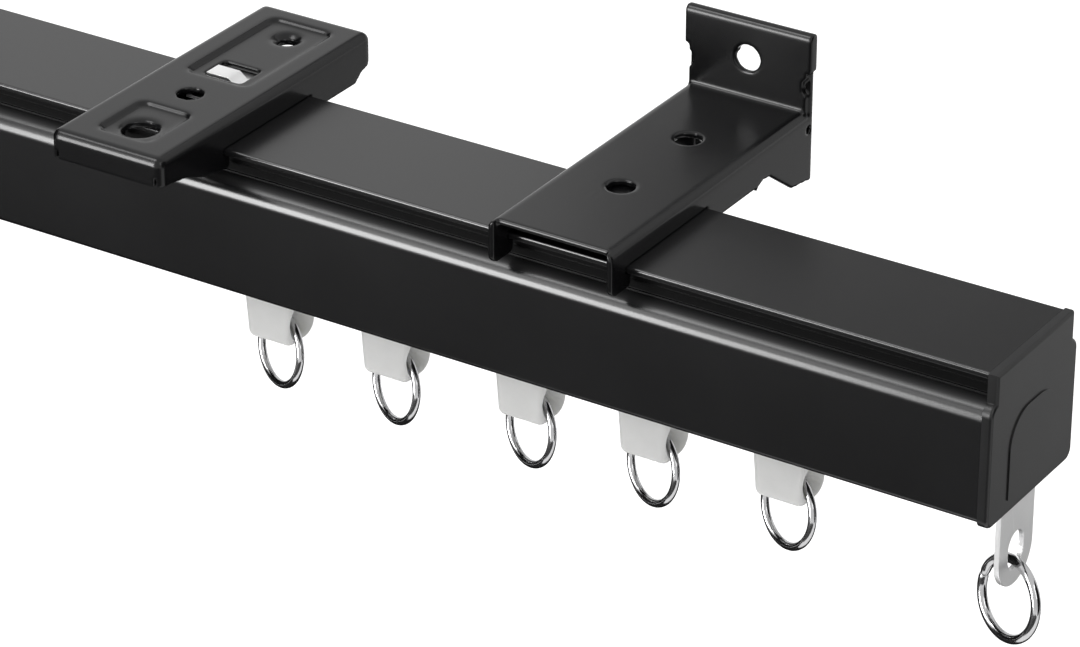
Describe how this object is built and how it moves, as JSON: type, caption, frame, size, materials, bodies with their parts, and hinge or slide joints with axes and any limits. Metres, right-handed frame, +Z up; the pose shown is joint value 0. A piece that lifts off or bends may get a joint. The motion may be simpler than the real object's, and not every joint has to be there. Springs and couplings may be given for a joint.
{
  "type": "curtain track",
  "caption": "Black T-headed curtain track with roller gliders on split rings, a pressed ceiling bracket, a folded wall bracket, end caps and a ringed end plate.",
  "frame": {"origin": "middle of the ceiling bracket's top face, which lies against the ceiling", "axes": "+X along the track towards the end with the end plate, +Y towards the wall, +Z up"},
  "size_m": [0.3114, 0.1016, 0.0948],
  "materials": {
    "track_paint": "satin black powder coat",
    "bracket_paint": "satin black coat on pressed sheet",
    "cap_plastic": "moulded black",
    "nylon": "translucent natural white nylon",
    "steel": "zinc plated",
    "ring_steel": "bright nickel plate"
  },
  "bodies": {
    "track": {"track_profile": "track_paint", "end_cap_right": "cap_plastic", "end_cap_left": "cap_plastic", "ceiling_bracket": "bracket_paint", "ceiling_latch_rivet": "bracket_paint", "wall_bracket": "bracket_paint", "wall_latch_rivet": "bracket_paint", "end_plate": "steel", "end_stop_block": "steel", "end_stop_screw": "steel"},
    "ceiling_catch": {"ceiling_latch": "steel"},
    "wall_catch": {"wall_latch": "bracket_paint"},
    "end_hanging_ring": {"end_ring": "ring_steel"},
    "glider_1": {"glider_1_body": "nylon"},
    "glider_1_wheelset": {"glider_1_axle": "steel", "glider_1_front_wheel": "nylon", "glider_1_rear_wheel": "nylon"},
    "glider_1_hanging_ring": {"glider_1_ring": "ring_steel"},
    "glider_2": {"glider_2_body": "nylon"},
    "glider_2_wheelset": {"glider_2_axle": "steel", "glider_2_front_wheel": "nylon", "glider_2_rear_wheel": "nylon"},
    "glider_2_hanging_ring": {"glider_2_ring": "ring_steel"},
    "glider_3": {"glider_3_body": "nylon"},
    "glider_3_wheelset": {"glider_3_axle": "steel", "glider_3_front_wheel": "nylon", "glider_3_rear_wheel": "nylon"},
    "glider_3_hanging_ring": {"glider_3_ring": "ring_steel"},
    "glider_4": {"glider_4_body": "nylon"},
    "glider_4_wheelset": {"glider_4_axle": "steel", "glider_4_front_wheel": "nylon", "glider_4_rear_wheel": "nylon"},
    "glider_4_hanging_ring": {"glider_4_ring": "ring_steel"},
    "glider_5": {"glider_5_body": "nylon"},
    "glider_5_wheelset": {"glider_5_axle": "steel", "glider_5_front_wheel": "nylon", "glider_5_rear_wheel": "nylon"},
    "glider_5_hanging_ring": {"glider_5_ring": "ring_steel"}
  },
  "joints": [
    {"name": "ceiling_catch_slide", "type": "slide", "parent": "track", "child": "ceiling_catch", "axis": [0, 1, 0], "range_m": [0, 0.0022], "stiffness_N_per_m": 600, "springref_m": -0.001},
    {"name": "wall_catch_slide", "type": "slide", "parent": "track", "child": "wall_catch", "axis": [0, 1, 0], "range_m": [0, 0.0022], "stiffness_N_per_m": 600, "springref_m": -0.001},
    {"name": "glider_1_slide", "type": "slide", "parent": "track", "child": "glider_1", "axis": [1, 0, 0], "range_m": [-0.103, 0.013]},
    {"name": "glider_1_roll", "type": "hinge", "parent": "glider_1", "child": "glider_1_wheelset", "pos_m": [0.0181, 0, -0.03468], "axis": [0, 1, 0], "continuous": true},
    {"name": "glider_1_swing", "type": "hinge", "parent": "glider_1", "child": "glider_1_hanging_ring", "pos_m": [0.0181, 0, -0.0541], "axis": [1, 0, 0], "range_deg": [-45, 70]},
    {"name": "glider_2_slide", "type": "slide", "parent": "track", "child": "glider_2", "axis": [1, 0, 0], "range_m": [-0.013, 0.017]},
    {"name": "glider_2_roll", "type": "hinge", "parent": "glider_2", "child": "glider_2_wheelset", "pos_m": [0.0499, 0, -0.03468], "axis": [0, 1, 0], "continuous": true},
    {"name": "glider_2_swing", "type": "hinge", "parent": "glider_2", "child": "glider_2_hanging_ring", "pos_m": [0.0499, 0, -0.0541], "axis": [1, 0, 0], "range_deg": [-45, 70]},
    {"name": "glider_3_slide", "type": "slide", "parent": "track", "child": "glider_3", "axis": [1, 0, 0], "range_m": [-0.017, 0.013]},
    {"name": "glider_3_roll", "type": "hinge", "parent": "glider_3", "child": "glider_3_wheelset", "pos_m": [0.0859, 0, -0.03468], "axis": [0, 1, 0], "continuous": true},
    {"name": "glider_3_swing", "type": "hinge", "parent": "glider_3", "child": "glider_3_hanging_ring", "pos_m": [0.0859, 0, -0.0541], "axis": [1, 0, 0], "range_deg": [-45, 70]},
    {"name": "glider_4_slide", "type": "slide", "parent": "track", "child": "glider_4", "axis": [1, 0, 0], "range_m": [-0.013, 0.015]},
    {"name": "glider_4_roll", "type": "hinge", "parent": "glider_4", "child": "glider_4_wheelset", "pos_m": [0.1176, 0, -0.03468], "axis": [0, 1, 0], "continuous": true},
    {"name": "glider_4_swing", "type": "hinge", "parent": "glider_4", "child": "glider_4_hanging_ring", "pos_m": [0.1176, 0, -0.0541], "axis": [1, 0, 0], "range_deg": [-45, 70]},
    {"name": "glider_5_slide", "type": "slide", "parent": "track", "child": "glider_5", "axis": [1, 0, 0], "range_m": [-0.015, 0.034]},
    {"name": "glider_5_roll", "type": "hinge", "parent": "glider_5", "child": "glider_5_wheelset", "pos_m": [0.1516, 0, -0.03468], "axis": [0, 1, 0], "continuous": true},
    {"name": "glider_5_swing", "type": "hinge", "parent": "glider_5", "child": "glider_5_hanging_ring", "pos_m": [0.1516, 0, -0.0541], "axis": [1, 0, 0], "range_deg": [-45, 70]},
    {"name": "end_ring_swing", "type": "hinge", "parent": "track", "child": "end_hanging_ring", "pos_m": [0.2044, 0, -0.05875], "axis": [1, 0, 0], "range_deg": [-60, 60]}
  ],
  "couplings": [
    {"joint": "glider_1_roll", "follows": "glider_1_slide", "rad_per_m": 208.33},
    {"joint": "glider_2_roll", "follows": "glider_2_slide", "rad_per_m": 208.33},
    {"joint": "glider_3_roll", "follows": "glider_3_slide", "rad_per_m": 208.33},
    {"joint": "glider_4_roll", "follows": "glider_4_slide", "rad_per_m": 208.33},
    {"joint": "glider_5_roll", "follows": "glider_5_slide", "rad_per_m": 208.33}
  ]
}
